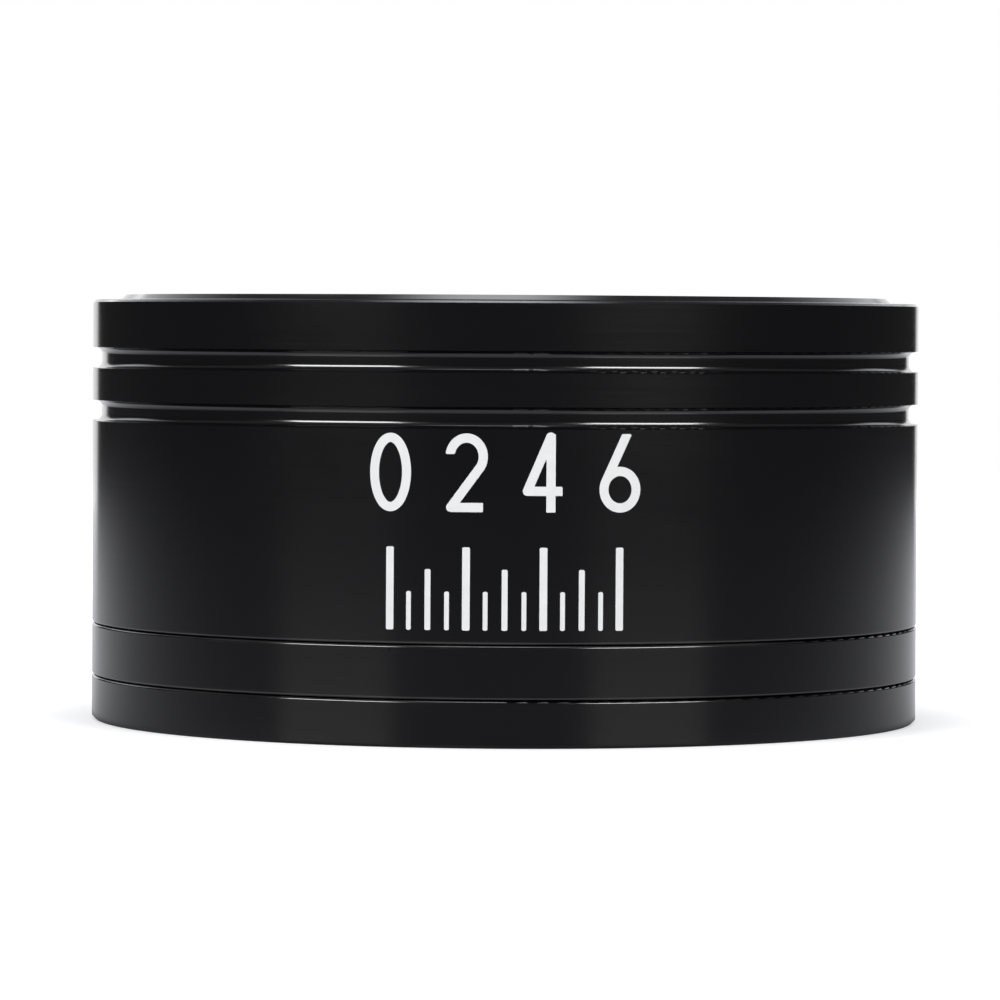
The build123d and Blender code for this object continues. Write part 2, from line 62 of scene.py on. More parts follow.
MM = 0.001
nodes = frame["nodes"]
scene = bpy.context.scene

# ---- Places read from the frame ----
barrel_low, barrel_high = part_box("main_barrel")
ring_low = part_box("adjusting_ring")[0]
end_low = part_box("end_ring")[0]
lip_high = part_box("front_retaining_ring")[1]
outer_radius = barrel_high.x
joints = {joint["name"]: joint for joint in frame["joints"]}
ring_turn = joints["ring_turn"]["range_deg"][1]
barrel_travel_mm = joints["barrel_slide"]["range_m"][1] / MM

# ---- Turned details of the outside, as the CAD model has them ----
seam_gap_mm = 0.1
seam_round_mm = 0.28
groove_width_mm = 2.4
groove_depth_mm = 1.05
groove_corner_mm = 0.8
groove_drops_mm = (6.68, 12.75)
surface_slack_mm = 0.07  # how far the mesh's flat faces may lie off the true surface


# ---- Shader nodes, written as expressions ----
class Signal:
    """One output of a shader node. Arithmetic on it adds Math nodes."""

    def __init__(self, sheet, socket):
        self.sheet = sheet
        self.socket = socket

    def output(self, name):
        """Another output of the same node."""
        return Signal(self.sheet, self.socket.node.outputs[name])

    def math(self, operation, *values):
        """One Math node, whose inputs are these values in order."""
        settings = {"operation": operation}
        return self.sheet.node("ShaderNodeMath", settings, dict(enumerate(values)))

    def __add__(self, other):
        return self.math("ADD", self, other)

    def __radd__(self, other):
        return self.math("ADD", other, self)

    def __sub__(self, other):
        return self.math("SUBTRACT", self, other)

    def __rsub__(self, other):
        return self.math("SUBTRACT", other, self)

    def __mul__(self, other):
        return self.math("MULTIPLY", self, other)

    def __rmul__(self, other):
        return self.math("MULTIPLY", other, self)

    def __truediv__(self, other):
        return self.math("DIVIDE", self, other)

    def __pow__(self, other):
        return self.math("POWER", self, other)

    def __abs__(self):
        return self.math("ABSOLUTE", self)

    def __neg__(self):
        return self.math("MULTIPLY", self, -1.0)

    def swing(self, width):
        """A signal from 0 to 1, turned into a swing of this width about 0."""
        return (self - 0.5) * width

    def positive(self):
        """The value, or 0 where it is negative."""
        return self.math("MAXIMUM", self, 0.0)

    def below(self, limit):
        """1 where the value is under the limit, otherwise 0."""
        return self.math("LESS_THAN", self, limit)


class Sheet:
    """The node tree of one material or of the world."""

    def __init__(self, owner):
        owner.use_nodes = True
        self.owner = owner
        self.tree = owner.node_tree
        self.tree.nodes.clear()

    def node(self, kind, settings=None, sockets=None, output=0):
        """Adds a node: first its settings, then the value or the link of each socket."""
        made = self.tree.nodes.new(kind)
        for setting, value in (settings or {}).items():
            setattr(made, setting, value)
        for name, value in (sockets or {}).items():
            if isinstance(value, Signal):
                self.tree.links.new(value.socket, made.inputs[name])
            else:
                made.inputs[name].default_value = value
        return Signal(self, made.outputs[output]) if made.outputs else None

    def smooth(self, value, low, high):
        """0 below low, 1 above high, and a smooth step between them."""
        return self.node(
            "ShaderNodeMapRange",
            {"interpolation_type": "SMOOTHSTEP", "clamp": True},
            {"Value": value, "From Min": low, "From Max": high},
        )

    def mix(self, share, first, second):
        """The first colour, or the second where share is 1."""
        return self.node(
            "ShaderNodeMix",
            {"data_type": "RGBA"},
            {0: share, 6: first, 7: second},
            output=2,
        )

    def scaled(self, tint, strength):
        """A colour times a signal."""
        return self.node(
            "ShaderNodeVectorMath",
            {"operation": "SCALE"},
            {0: tint[:3], "Scale": strength},
        )

    def vector(self, x, y, z):
        """A vector from three values."""
        return self.node("ShaderNodeCombineXYZ", None, {0: x, 1: y, 2: z})

    def noise(self, place, scale, detail=2.0, rough=0.5):
        """Soft noise from 0 to 1, with scale bumps to each unit of place."""
        return self.node(
            "ShaderNodeTexNoise",
            {"noise_dimensions": "3D"},
            {"Vector": place, "Scale": scale, "Detail": detail, "Roughness": rough},
        )

    def cells(self, place, scale):
        """Distance to the nearest of many scattered points."""
        return self.node("ShaderNodeTexVoronoi", None, {"Vector": place, "Scale": scale})

    def surface(self, shader):
        """Ends the tree in its material output."""
        self.node("ShaderNodeOutputMaterial", None, {"Surface": shader})


def colour(red, green, blue):
    """A linear colour with full alpha."""
    return (red, green, blue, 1.0)


class Turned:
    """Where a point lies on a turned piece, in millimetres, as shader signals."""

    side_shift = 0.37  # how much of the seed shifts the pattern sideways
    slant = 0.83  # lets the marks follow walls, cones and flat faces alike
    circle_mm = 48.0  # the circle on which a streak's length is measured

    def __init__(self, sheet, seed):
        coordinates = sheet.node("ShaderNodeTexCoord", output="Object")
        shift = (seed, seed * self.side_shift, 0.0)
        self.place = sheet.node(
            "ShaderNodeVectorMath",
            {"operation": "MULTIPLY_ADD"},
            {0: coordinates, 1: (1 / MM, 1 / MM, 1 / MM), 2: shift},
        )
        split = sheet.node("ShaderNodeSeparateXYZ", None, {0: coordinates})
        self.x = split / MM
        self.y = split.output("Y") / MM
        self.height = split.output("Z") / MM
        self.radius = (self.x * self.x + self.y * self.y) ** 0.5
        self.along = self.height + self.radius * self.slant + seed
        self.sheet = sheet

    def marks(self, pitch, streak):
        """Tool marks of one pitch, in streaks of one length round the axis, in millimetres."""
        reach = self.circle_mm / streak
        place = self.sheet.vector(
            self.along / pitch,
            self.x / self.radius * reach,
            self.y / self.radius * reach,
        )
        return self.sheet.noise(place, 1.0, detail=2.0, rough=0.6)


class RoundedWall:
    """The true direction of a turned wall at each point: on the wall itself, on its rounded
    edges and in its grooves. Lengths are millimetres."""

    def __init__(self, low, high, grooves=()):
        self.low = low
        self.high = high
        self.grooves = grooves

    def edge_direction(self, at):
        """Outward and upward parts on the wall and its rounded edges, and where they hold."""
        core = outer_radius / MM - seam_round_mm
        out = (at.radius - core).positive()
        over = (at.height - (self.high - seam_round_mm)).positive()
        under = (self.low + seam_round_mm - at.height).positive()
        up = over - under
        return out, up, near_surface(out, up, seam_round_mm)

    def groove_direction(self, at, middle):
        """The same in the groove at this height."""
        floor = outer_radius / MM - groove_depth_mm
        out = (floor + groove_corner_mm - at.radius).positive()
        offset = at.height - middle
        aside = (abs(offset) - (groove_width_mm / 2 - groove_corner_mm)).positive()
        up = -offset / abs(offset) * aside
        return out, up, near_surface(out, up, groove_corner_mm)

    def normal(self, sheet, at):
        """The surface direction in world space."""
        parts = [self.groove_direction(at, middle) for middle in self.grooves]
        parts.append(self.edge_direction(at))
        direction = sheet.node("ShaderNodeNewGeometry", output="Normal")
        for out, up, holds in parts:
            turned = sheet.vector(at.x / at.radius * out, at.y / at.radius * out, up)
            turned = sheet.node(
                "ShaderNodeVectorTransform",
                {"vector_type": "VECTOR", "convert_from": "OBJECT", "convert_to": "WORLD"},
                {"Vector": turned},
            )
            direction = sheet.node(
                "ShaderNodeMix",
                {"data_type": "VECTOR"},
                {0: holds, 4: direction, 5: turned},
                output=1,
            )
        return sheet.node("ShaderNodeVectorMath", {"operation": "NORMALIZE"}, {0: direction})


def near_surface(out, up, corner_mm):
    """1 where these distances from a corner's centre lie on its rounding or the walls beside it."""
    return abs((out * out + up * up) ** 0.5 - corner_mm).below(surface_slack_mm)


def new_sheet(name):
    """A new material with an empty tree."""
    return Sheet(bpy.data.materials.new(name))


def finish_surface(sheet, constants, varying, height=None, depth_mm=0.0, direction=None):
    """A Principled surface: constants on its own sockets, varying signals linked, and a bump of
    this depth where a height signal is given, on the surface direction if one is given."""
    sockets = {**constants, **varying}
    if height is not None:
        bump = {"Distance": depth_mm * MM, "Height": height}
        if direction is not None:
            bump["Normal"] = direction
        sockets["Normal"] = sheet.node("ShaderNodeBump", None, bump)
    sheet.surface(sheet.node("ShaderNodeBsdfPrincipled", None, sockets))
    return sheet.owner


# ---- Finishes ----
def anodised(name, seed, edges_mm, wall=None):
    """Satin black anodised aluminium with fine lathe marks and slightly rubbed edges.

    edges_mm lists the heights of the edges that hands rub."""
    black = 0.0035
    rubbed = colour(0.035, 0.034, 0.034)
    gloss = 0.14
    sheet = new_sheet(name)
    at = Turned(sheet, seed)
    fine = at.marks(pitch=0.16, streak=30.0)
    broad = at.marks(pitch=0.9, streak=90.0)
    pores = sheet.noise(at.place, 6.0, detail=3.0, rough=0.65)
    cloud = sheet.noise(at.place, 0.07, detail=3.0, rough=0.55)
    rub = 0.0
    for edge in edges_mm:
        rub = rub + (1.0 - sheet.smooth(abs(at.height - edge), 0.05, 0.5))
    wear = rub * sheet.smooth(cloud, 0.45, 0.7) * 0.5
    dark = colour(black * 0.75, black * 0.75, black * 0.86)
    light = colour(black * 1.3, black * 1.3, black * 1.5)
    tone = sheet.mix(wear, sheet.mix(pores, dark, light), rubbed)
    roughness = gloss + fine.swing(0.05) + cloud.swing(0.05) + pores.swing(0.04)
    height = fine * 0.5 + broad * 0.9 + pores * 0.35
    varying = {"Base Color": tone, "Roughness": roughness}
    direction = wall.normal(sheet, at) if wall else None
    return finish_surface(
        sheet, {"IOR": 1.75}, varying, height, depth_mm=0.0009, direction=direction
    )


def flat_black(name, seed, pitch=0.25):
    """Matt black anodising on inside faces, with coarser tool marks."""
    dark = colour(0.006, 0.006, 0.0065)
    light = colour(0.015, 0.015, 0.016)
    sheet = new_sheet(name)
    at = Turned(sheet, seed)
    marks = at.marks(pitch, streak=40.0)
    grain = sheet.noise(at.place, 5.0, detail=3.0, rough=0.7)
    cloud = sheet.noise(at.place, 0.15)
    roughness = 0.5 + marks.swing(0.12) + cloud.swing(0.12) + grain.swing(0.08)
    varying = {"Base Color": sheet.mix(grain, dark, light), "Roughness": roughness}
    height = marks + grain * 0.5
    return finish_surface(sheet, {"IOR": 1.5}, varying, height, depth_mm=0.003)


def bright_metal(name, seed, dull, bright, rough, pitch):
    """Machined metal: tool marks, faint tarnish and small scratches."""
    sheet = new_sheet(name)
    at = Turned(sheet, seed)
    marks = at.marks(pitch, streak=25.0)
    tarnish = sheet.noise(at.place, 0.35, detail=4.0, rough=0.6)
    tone = sheet.mix(sheet.smooth(tarnish, 0.35, 0.7), bright, dull)
    roughness = rough + marks.swing(0.16) + tarnish.swing(0.14)
    varying = {"Base Color": tone, "Roughness": roughness}
    return finish_surface(sheet, {"Metallic": 1.0}, varying, marks, depth_mm=0.003)


def blackened_steel(name, seed):
    """Black oxide on small steel pieces, with metal showing through at rubbed spots."""
    oxide = colour(0.03, 0.03, 0.033)
    bare = colour(0.2, 0.19, 0.18)
    sheet = new_sheet(name)
    at = Turned(sheet, seed)
    grain = sheet.noise(at.place, 4.0, detail=4.0, rough=0.65)
    rubbed = sheet.smooth(grain, 0.58, 0.75)
    varying = {
        "Base Color": sheet.mix(rubbed, oxide, bare),
        "Roughness": 0.42 - rubbed * 0.12 + grain.swing(0.1),
        "Metallic": 0.55 + rubbed * 0.4,
    }
    return finish_surface(sheet, {}, varying, grain, depth_mm=0.004)


def coated_glass(name, tint, index, film):
    """Polished optical glass with an anti-reflection film and a few motes of dust."""
    sheet = new_sheet(name)
    at = Turned(sheet, index)
    motes = 1.0 - sheet.smooth(sheet.cells(at.place, 0.35), 0.02, 0.07)
    constants = {
        "Base Color": tint,
        "IOR": index,
        "Transmission Weight": 1.0,
        "Thin Film Thickness": film,
        "Thin Film IOR": 1.38,
    }
    return finish_surface(sheet, constants, {"Roughness": 0.012 + motes * 0.5})


def slippery_plastic(name, seed):
    """White low-friction plastic with a greyish cast where it rubs."""
    white = colour(0.78, 0.77, 0.74)
    rubbed = colour(0.6, 0.59, 0.56)
    sheet = new_sheet(name)
    at = Turned(sheet, seed)
    marks = at.marks(pitch=0.5, streak=20.0)
    cloud = sheet.noise(at.place, 0.5, detail=3.0)
    constants = {"IOR": 1.35, "Subsurface Weight": 0.15, "Subsurface Radius": (MM, MM, MM)}
    varying = {
        "Base Color": sheet.mix(cloud, white, rubbed),
        "Roughness": 0.38 + cloud.swing(0.2),
    }
    return finish_surface(sheet, constants, varying, marks, depth_mm=0.004)


def grained(name, seed, grain, dark, light, middle, depth_mm):
    """A plain moulded or pressed stuff whose grain shows in its colour, gloss and surface.

    grain gives the noise's scale, detail and rough, and middle is the middle roughness."""
    sheet = new_sheet(name)
    at = Turned(sheet, seed)
    grain = sheet.noise(at.place, **grain)
    varying = {
        "Base Color": sheet.mix(grain, dark, light),
        "Roughness": middle + grain.swing(0.25),
    }
    return finish_surface(sheet, {}, varying, grain, depth_mm)


def red_fibre(name, seed):
    """Vulcanised fibre: brown-red sheet with short flecks in it."""
    dark = colour(0.09, 0.03, 0.02)
    light = colour(0.2, 0.085, 0.05)
    flecks = {"scale": 3.0, "detail": 5.0, "rough": 0.75}
    return grained(name, seed, flecks, dark, light, middle=0.62, depth_mm=0.02)


def ring_rubber(name, seed):
    """Moulded black rubber with a faint bloom on its surface."""
    dark = colour(0.012, 0.012, 0.012)
    light = colour(0.03, 0.03, 0.031)
    bloom = {"scale": 1.2, "detail": 4.0, "rough": 0.6}
    return grained(name, seed, bloom, dark, light, middle=0.5, depth_mm=0.006)


def wool_felt(name, seed):
    """Black wool felt: tangled hairs in a soft mat."""
    dark = colour(0.008, 0.008, 0.009)
    light = colour(0.045, 0.044, 0.046)
    sheet = new_sheet(name)
    at = Turned(sheet, seed)
    hairs = sheet.noise(at.place, 7.0, detail=6.0, rough=0.8)
    tufts = sheet.cells(at.place, 2.5)
    constants = {"Roughness": 0.95, "Sheen Weight": 0.5, "Sheen Roughness": 0.5}
    varying = {"Base Color": sheet.mix(hairs, dark, light)}
    height = hairs + tufts * 0.5
    return finish_surface(sheet, constants, varying, height, depth_mm=0.08)


def screen_ink(name):
    """Matt white ink, printed through a mesh: thin at pinholes and slightly uneven."""
    thin = colour(0.35, 0.35, 0.355)
    dim = colour(0.64, 0.645, 0.645)
    full = colour(0.73, 0.735, 0.73)
    sheet = new_sheet(name)
    at = Turned(sheet, 3.0)
    weave = sheet.noise(at.place, 4.5, detail=3.0, rough=0.7)
    blotch = sheet.noise(at.place, 0.9)
    holes = sheet.smooth(weave, 0.64, 0.76)
    tone = sheet.mix(holes * 0.35, sheet.mix(blotch, dim, full), thin)
    varying = {"Base Color": tone, "Roughness": 0.55 + weave.swing(0.2)}
    return finish_surface(sheet, {"IOR": 1.48}, varying, weave, depth_mm=0.006)


def dress(node_names, material):
    """Gives these CAD nodes one material in all their slots."""
    for name in node_names:
        piece = nodes[name]
        if not piece.material_slots:
            piece.data.materials.append(material)
        for place in piece.material_slots:
            place.material = material


def dress_every_node():
    """Every CAD node gets its finish."""
    barrel_edges = (barrel_low.z / MM, barrel_high.z / MM)
    grooves = [barrel_edges[1] - drop for drop in groove_drops_mm]
    barrel_wall = RoundedWall(*barrel_edges, grooves)
    dress(["main_barrel"], anodised("barrel_black", 11.0, barrel_edges, barrel_wall))
    ring_edges = (ring_low.z / MM, barrel_edges[0] - seam_gap_mm)
    dress(["adjusting_ring"], anodised("ring_black", 47.0, ring_edges, RoundedWall(*ring_edges)))
    end_edges = (end_low.z / MM, ring_edges[0] - seam_gap_mm)
    dress(["end_ring"], anodised("end_black", 83.0, end_edges, RoundedWall(*end_edges)))
    dress(["front_retaining_ring"], anodised("lip_black", 131.0, (lip_high.z / MM,)))
    dress(["drawtube", "drawtube_baffle"], flat_black("tube_black", 5.0))
    dress(["guide_ring", "spacer_sleeve"], flat_black("sleeve_black", 29.0, 0.35))
    dress(["lens_cell", "cell_retaining_ring"], flat_black("cell_black", 61.0, 0.2))
    brass_dull = colour(0.5, 0.33, 0.13)
    brass_bright = colour(0.78, 0.57, 0.27)
    brass = bright_metal("turned_brass", 17.0, brass_dull, brass_bright, 0.3, 0.3)
    dress(["captive_nut", "guide_keys", "element_spacer"], brass)
    steel_dull = colour(0.4, 0.4, 0.41)
    steel_bright = colour(0.62, 0.62, 0.63)
    steel = bright_metal("ground_steel", 23.0, steel_dull, steel_bright, 0.24, 0.12)
    dress(["cam_followers", "stop_pin"], steel)
    blackened = blackened_steel("blackened_steel", 37.0)
    dress(["baffle_snap_ring", "end_ring_keys", "nut_lock_screws"], blackened)
    washers = slippery_plastic("washer_white", 7.0)
    dress(["lower_thrust_washer", "upper_thrust_washer"], washers)
    dress(["front_gasket"], red_fibre("gasket_fibre", 13.0))
    dress(["cell_o_ring"], ring_rubber("o_ring_black", 19.0))
    dress(["felt_seal"], wool_felt("felt_black", 31.0))
    crown = coated_glass("crown_coated", colour(0.97, 0.99, 0.975), 1.517, 95.0)
    flint = coated_glass("flint_coated", colour(0.98, 0.98, 0.97), 1.62, 120.0)
    dress(["crown_element"], crown)
    dress(["flint_element"], flint)


# ---- The printed scale ----
numeral_height_mm = 8.5
numeral_width_mm = 4.6
stroke_mm = 1.0
numeral_bottom_mm = 25.6
tick_bottom_mm = 12.8
ink_lift_mm = 0.012
ink_top_mm = 0.028
ink_grid_mm = 0.1
print_margin_mm = 0.6  # clear space round the strokes in their grid
line_margin_mm = 0.2  # the same above and under a graduation line
scale_start = -105.0
# Height and half width of a graduation line at each half millimetre of a 2 mm step.
graduations_mm = ((9.0, 0.42), (4.2, 0.26), (6.6, 0.32), (4.2, 0.26))


def arc(centre, radii, start, stop, count=28):
    """Points on an ellipse's arc, from start to stop degrees."""
    angles = np.radians(np.linspace(start, stop, count))
    x = centre[0] + radii[0] * np.cos(angles)
    y = centre[1] + radii[1] * np.sin(angles)
    return list(zip(x, y))


def numeral_strokes(numeral):
    """The strokes of a numeral, in a box of numeral_width by numeral_height that is centred on
    x = 0 and stands on y = 0."""
    half = numeral_width_mm / 2 - stroke_mm / 2
    foot = stroke_mm / 2
    head = numeral_height_mm - stroke_mm / 2
    top = numeral_height_mm
    middle = (foot + head) / 2
    down, up, left, right = (0, -1), (0, 1), (-1, 0), (1, 0)
    if numeral == 0:
        return [(arc((0, middle), (half, middle - foot), 0, 360, 72), None, None)]
    if numeral == 2:
        rise = half * 1.12
        heel = (-half + 0.1, foot)
        bend = arc((0, head - rise), (half, rise), 172, -32)
        return [
            (bend + [heel], down, None),
            ([heel, (half, foot)], None, right),
            ([(-half - 0.1, foot), (-half + 0.3, foot)], left, None),
        ]
    lean = half * 0.42
    if numeral == 4:
        bar = top * 0.27
        return [
            ([(lean, 0), (lean, top)], down, up),
            ([(lean - 0.05, top - 0.35), (-half, bar)], None, None),
            ([(-half, bar), (half * 1.12, bar)], None, right),
        ]
    bowl = half * 1.1
    bowl_middle = foot + bowl
    slope = math.radians(152)
    touch = (half * math.cos(slope), bowl_middle + bowl * math.sin(slope))
    return [
        (arc((0, bowl_middle), (half, bowl), 0, 360, 60), None, None),
        ([touch, (lean, top)], None, up),
    ]


def cut_end(points, distance, end, outward, half_width):
    """Distances near a stroke's end, changed so that the end is cut off square to outward."""
    end_reach = 2.5 * half_width
    beyond = (points - end) @ outward
    near = np.linalg.norm(points - end, axis=1) < end_reach
    return np.where(near, np.maximum(distance, half_width + beyond), distance)


def distance_to_strokes(points, strokes, half_width):
    """How far each point is from the nearest stroke's centre line.

    A stroke is its points in order, and the directions in which its two ends are cut, or None
    where an end joins another stroke."""
    nearest = np.full(len(points), np.inf)
    for path, first_cut, last_cut in strokes:
        corners = np.array(path, float)
        distance = np.full(len(points), np.inf)
        for start, stop in zip(corners[:-1], corners[1:]):
            along = stop - start
            share = ((points - start) @ along) / max(along @ along, 1e-12)
            foot = start + np.clip(share, 0, 1)[:, None] * along
            distance = np.minimum(distance, np.linalg.norm(points - foot, axis=1))
        for end, cut in ((corners[0], first_cut), (corners[-1], last_cut)):
            if cut is not None:
                outward = np.array(cut, float) / np.hypot(*cut)
                distance = cut_end(points, distance, end, outward, half_width)
        nearest = np.minimum(nearest, distance)
    return nearest


def inked_cells(strokes, half_width, low, high):
    """A flat grid of square cells inside the strokes, with its border moved onto their edges.

    Returns the points, the four points of each cell, and the edges of the border."""
    columns = int(round((high[0] - low[0]) / ink_grid_mm)) + 1
    rows = int(round((high[1] - low[1]) / ink_grid_mm)) + 1
    xs = low[0] + np.arange(columns) * ink_grid_mm
    ys = low[1] + np.arange(rows) * ink_grid_mm
    points = np.stack(np.meshgrid(xs, ys), axis=-1).reshape(-1, 2)
    distance = distance_to_strokes(points, strokes, half_width)
    inside = (distance < half_width).reshape(rows, columns)
    full = inside[:-1, :-1] & inside[1:, :-1] & inside[:-1, 1:] & inside[1:, 1:]
    cells = []
    for row, column in zip(*np.nonzero(full)):
        corner = row * columns + column
        cells.append((corner, corner + 1, corner + columns + 1, corner + columns))
    edges = {}
    for cell in cells:
        for start, stop in zip(cell, cell[1:] + cell[:1]):
            edges[(start, stop)] = True
    border = [edge for edge in edges if (edge[1], edge[0]) not in edges]
    rim = sorted({point for edge in border for point in edge})
    rounds = 4
    step = 0.01
    least_slope = 0.3
    for _ in range(rounds):
        here = points[rim]
        value = distance_to_strokes(here, strokes, half_width)
        right = distance_to_strokes(here + (step, 0), strokes, half_width)
        up = distance_to_strokes(here + (0, step), strokes, half_width)
        slope = np.stack([right - value, up - value], axis=1) / step
        length = np.maximum(np.linalg.norm(slope, axis=1, keepdims=True), least_slope)
        points[rim] = here + slope / length**2 * (half_width - value)[:, None]
    return points, cells, border


def wrapped(flat_x_mm, height_mm, lift_mm, azimuth):
    """A point of the print, laid round the barrel at an azimuth."""
    radius = outer_radius + lift_mm * MM
    angle = math.radians(azimuth) + flat_x_mm * MM / outer_radius
    return (radius * math.cos(angle), radius * math.sin(angle), height_mm * MM)


def print_ink(name, strokes, half_width, low, high, azimuth, bottom_mm):
    """A thin slab of ink in the shape of these strokes, on the barrel's wall."""
    points, cells, border = inked_cells(strokes, half_width, low, high)
    used = sorted({corner for cell in cells for corner in cell})
    mesh = bmesh.new()
    layers = []
    for lift in (ink_lift_mm, ink_top_mm):
        layer = {}
        for index in used:
            x, y = points[index]
            layer[index] = mesh.verts.new(wrapped(x, y + bottom_mm, lift, azimuth))
        layers.append(layer)
    under, over = layers
    for cell in cells:
        mesh.faces.new([over[corner] for corner in cell])
        mesh.faces.new([under[corner] for corner in reversed(cell)])
    for start, stop in border:
        mesh.faces.new([under[start], under[stop], over[stop], over[start]])
    data = bpy.data.meshes.new(name)
    mesh.to_mesh(data)
    mesh.free()
    piece = bpy.data.objects.new(name, data)
    scene.collection.objects.link(piece)
    return piece


def make_scale():
    """Numerals 0 2 4 6, the extension in millimetres, over a row of graduation lines."""
    ink = screen_ink("white_ink")
    printed = []
    span = ring_turn / barrel_travel_mm
    reach = numeral_width_mm / 2 + print_margin_mm
    for numeral in (0, 2, 4, 6):
        printed.append(
            print_ink(
                f"scale_numeral_{numeral}",
                numeral_strokes(numeral),
                stroke_mm / 2,
                (-reach, -print_margin_mm),
                (reach, numeral_height_mm + print_margin_mm),
                scale_start + numeral * span,
                numeral_bottom_mm,
            )
        )
    for half_step in range(int(2 * barrel_travel_mm) + 1):
        height, half_width = graduations_mm[half_step % len(graduations_mm)]
        line = [([(0.0, 0.0), (0.0, height)], (0, -1), (0, 1))]
        printed.append(
            print_ink(
                f"scale_line_{half_step:02d}",
                line,
                half_width,
                (-print_margin_mm, -line_margin_mm),
                (print_margin_mm, height + line_margin_mm),
                scale_start + half_step / 2 * span,
                tick_bottom_mm,
            )
        )
    for piece in printed:
        piece.data.materials.append(ink)
        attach(piece, "barrel")


# ---- Table, studio and camera ----
object_middle = 0.025
table_radius = 1.35
table_drop = 0.02 * MM  # keeps the table's face just clear of the standing face
table_fade = (0.0, 1.2)
# Reach over which the table's painted contact shadow fades out round the object's foot.
contact_shade = (outer_radius - 1.0 * MM, outer_radius + 14.0 * MM)
contact_glow = (outer_radius - 3.0 * MM, outer_radius + 5.0 * MM)
cool_white = colour(0.98, 0.99, 1.02)

camera_place = (-0.000558, -0.63159, 0.04542)
camera_down = 1.814
camera_lean = 0.343


def table_glow(sheet, x, y, reach):
    """How bright the table looks in the black metal: dim towards the front and where it is seen
    at a low angle, brighter behind, and dark right under the object's edge."""
    ahead = 44.0 * MM
    darkest = 0.08
    back_gain = 0.8
    from_above = 0.45
    span = (x * x + (y + ahead) * (y + ahead)) ** 0.5
    behind = ((y + ahead) / span + 1.0) * 0.5
    low_view = darkest + behind ** 4.0 * back_gain
    facing = sheet.node("ShaderNodeLayerWeight", output="Facing")
    steep = sheet.smooth(1.0 - facing, 0.12, 0.42)
    glow = low_view + (from_above - low_view) * steep
    return glow * sheet.smooth(reach, *contact_glow)


def seen_paint(sheet, coordinates, reach):
    """The table as it is seen directly: white paper, with a painted contact shadow that makes it a
    little darker where the object stands, and lifted towards the backdrop."""
    paper = sheet.noise(coordinates, 900.0, detail=3.0, rough=0.6)
    tone = sheet.mix(paper, colour(0.8, 0.8, 0.8), colour(0.86, 0.86, 0.86))
    # Painted contact shadow: the paper's colour is mixed towards grey close to the object's foot,
    # standing in for shade.
    painted_contact_shadow = 1.0 - sheet.smooth(reach, *contact_shade)
    tone = sheet.mix(painted_contact_shadow, tone, colour(0.6, 0.6, 0.61))
    bump = sheet.node("ShaderNodeBump", None, {"Distance": 0.02 * MM, "Height": paper})
    paint = {"Base Color": tone, "Roughness": 0.8, "Normal": bump}
    paint = sheet.node("ShaderNodeBsdfPrincipled", None, paint)
    lift = sheet.scaled(colour(1.0, 1.0, 1.0), 0.36 + reach * 2.0)
    lift = sheet.node("ShaderNodeEmission", None, {"Color": lift})
    return sheet.node("ShaderNodeAddShader", None, {0: paint, 1: lift})


def reflected_board(sheet, glow):
    """The table as the metal reflects it: a card of this glow with a faint gloss."""
    card = sheet.scaled(colour(0.97, 0.98, 1.03), glow)
    card = sheet.node("ShaderNodeEmission", None, {"Color": card})
    gloss = {"Color": colour(0.06, 0.06, 0.06), "Roughness": 0.25}
    gloss = sheet.node("ShaderNodeBsdfGlossy", None, gloss)
    return sheet.node("ShaderNodeAddShader", None, {0: card, 1: gloss})


def make_table():
    """A round white table that fades into the backdrop."""
    sheet = new_sheet("table_white")
    coordinates = sheet.node("ShaderNodeTexCoord", output="Object")
    split = sheet.node("ShaderNodeSeparateXYZ", None, {0: coordinates})
    reach = sheet.node(
        "ShaderNodeVectorMath", {"operation": "LENGTH"}, {0: coordinates}, output="Value"
    )
    paint = seen_paint(sheet, coordinates, reach)
    board = reflected_board(sheet, table_glow(sheet, split, split.output("Y"), reach))
    seen = sheet.node("ShaderNodeLightPath", output="Is Camera Ray")
    white = sheet.node("ShaderNodeMixShader", None, {0: seen, 1: board, 2: paint})
    clear = sheet.node("ShaderNodeBsdfTransparent")
    fade = sheet.smooth(reach, *table_fade)
    sheet.surface(sheet.node("ShaderNodeMixShader", None, {0: fade, 1: white, 2: clear}))
    mesh = bmesh.new()
    bmesh.ops.create_circle(mesh, cap_ends=True, radius=table_radius, segments=96)
    data = bpy.data.meshes.new("table")
    mesh.to_mesh(data)
    mesh.free()
    table = bpy.data.objects.new("table", data)
    table.location.z = cad_box[0].z - table_drop
    data.materials.append(sheet.owner)
    scene.collection.objects.link(table)


def aim(place, target):
    """The turn that points -Z from one place at another."""
    return (Vector(target) - Vector(place)).to_track_quat("-Z", "Y").to_euler()


def on_sphere(azimuth, elevation, distance):
    """A place at this distance from the object's middle. Azimuth 0 is the front, positive right."""
    turn = math.radians(azimuth)
    rise = math.radians(elevation)
    flat = distance * math.cos(rise)
    high = object_middle + distance * math.sin(rise)
    return (flat * math.sin(turn), -flat * math.cos(turn), high)


def softbox(name, place, size, radiance):
    """A rectangular area light aimed at the object, as bright as its radiance says."""
    watts_per_area = 4.0
    light = bpy.data.lights.new(name, "AREA")
    light.shape = "RECTANGLE"
    light.size, light.size_y = size
    light.energy = radiance * watts_per_area * size[0] * size[1]
    lamp = bpy.data.objects.new(name, light)
    lamp.location = place
    lamp.rotation_euler = aim(place, (0, 0, object_middle))
    lamp.visible_camera = False
    scene.collection.objects.link(lamp)


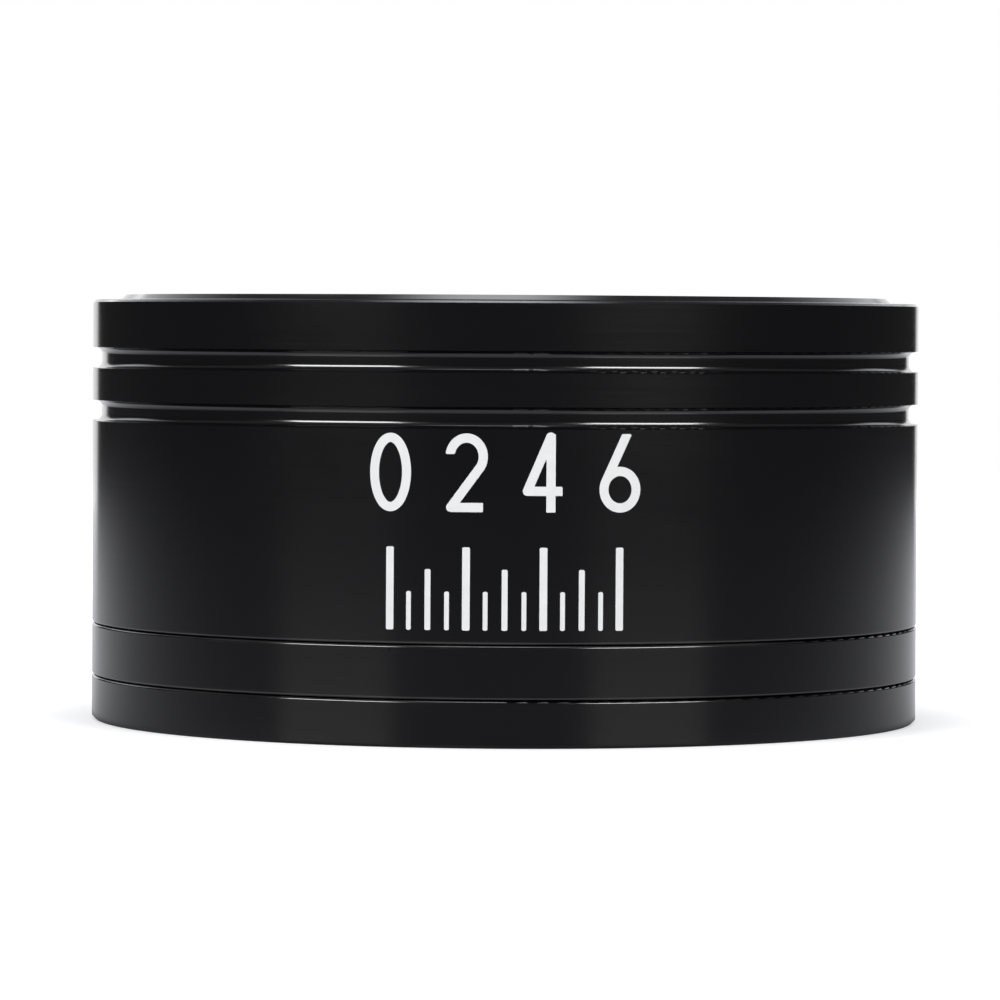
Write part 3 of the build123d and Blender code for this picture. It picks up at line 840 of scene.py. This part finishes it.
def room_light(sheet):
    """Brightness of the room by direction: a soft light overhead that leans to the front, a
    glow above the backdrop, a lighter ceiling and dim walls."""
    walls = 0.03
    ceiling = 0.12
    overhead_light = 3.8
    backdrop_glow = 1.3
    direction = sheet.node("ShaderNodeTexCoord", output="Generated")
    across = sheet.node("ShaderNodeSeparateXYZ", None, {0: direction})
    back = across.output("Y")
    up = across.output("Z")
    overhead = 1.0 - sheet.smooth(abs(across + 0.035), 0.06, 0.33)
    overhead = overhead * sheet.smooth(back, -0.5, -0.42)
    overhead = overhead * (1.0 - sheet.smooth(back, 0.12, 0.25))
    overhead = overhead * sheet.smooth(up, 0.5, 0.6)
    flat = (across * across + back * back) ** 0.5
    haze = (1.0 - sheet.smooth(up, 0.3, 0.78)) * sheet.smooth(up, 0.2, 0.3)
    haze = haze * sheet.smooth(back / flat, 0.53, 0.7)
    light = walls + overhead * overhead_light + haze * backdrop_glow
    return light + sheet.smooth(up, 0.35, 0.6) * ceiling


def make_studio():
    """Two softboxes in front, a lit backdrop behind, and the room round them."""
    elevation = 19
    distance = 0.9
    for name, azimuth in (("softbox_left", -46), ("softbox_right", 39)):
        place = on_sphere(azimuth, elevation, distance)
        softbox(name, place, size=(0.5, 0.28), radiance=10.0)
    softbox("backdrop_light", (-0.032, 0.7, 0.1), size=(0.6, 0.4), radiance=0.9)
    scene.world = bpy.data.worlds.new("studio")
    sheet = Sheet(scene.world)
    seen = sheet.node("ShaderNodeLightPath", output="Is Camera Ray")
    room = {"Color": sheet.scaled(cool_white, room_light(sheet))}
    room = sheet.node("ShaderNodeBackground", None, room)
    white = sheet.node("ShaderNodeBackground", None, {"Color": colour(1.0, 1.0, 1.0)})
    both = sheet.node("ShaderNodeMixShader", None, {0: seen, 1: room, 2: white})
    sheet.node("ShaderNodeOutputWorld", None, {"Surface": both})
    scene.view_settings.view_transform = "Standard"
    scene.view_settings.look = "None"


def make_camera():
    """The camera stands a little below the rim, 632 mm from the axis, and looks slightly down."""
    camera = bpy.data.cameras.new("camera")
    camera.sensor_width = 36.0
    camera.lens = 194.8
    camera.clip_start = 0.05
    camera.clip_end = 20.0
    holder = bpy.data.objects.new("camera", camera)
    look = Matrix.Rotation(math.radians(90 - camera_down), 4, "X")
    lean = Matrix.Rotation(math.radians(camera_lean), 4, "Z")
    holder.matrix_world = Matrix.Translation(camera_place) @ look @ lean
    scene.collection.objects.link(holder)
    scene.camera = holder


make_camera()
make_studio()
make_table()
dress_every_node()
make_scale()
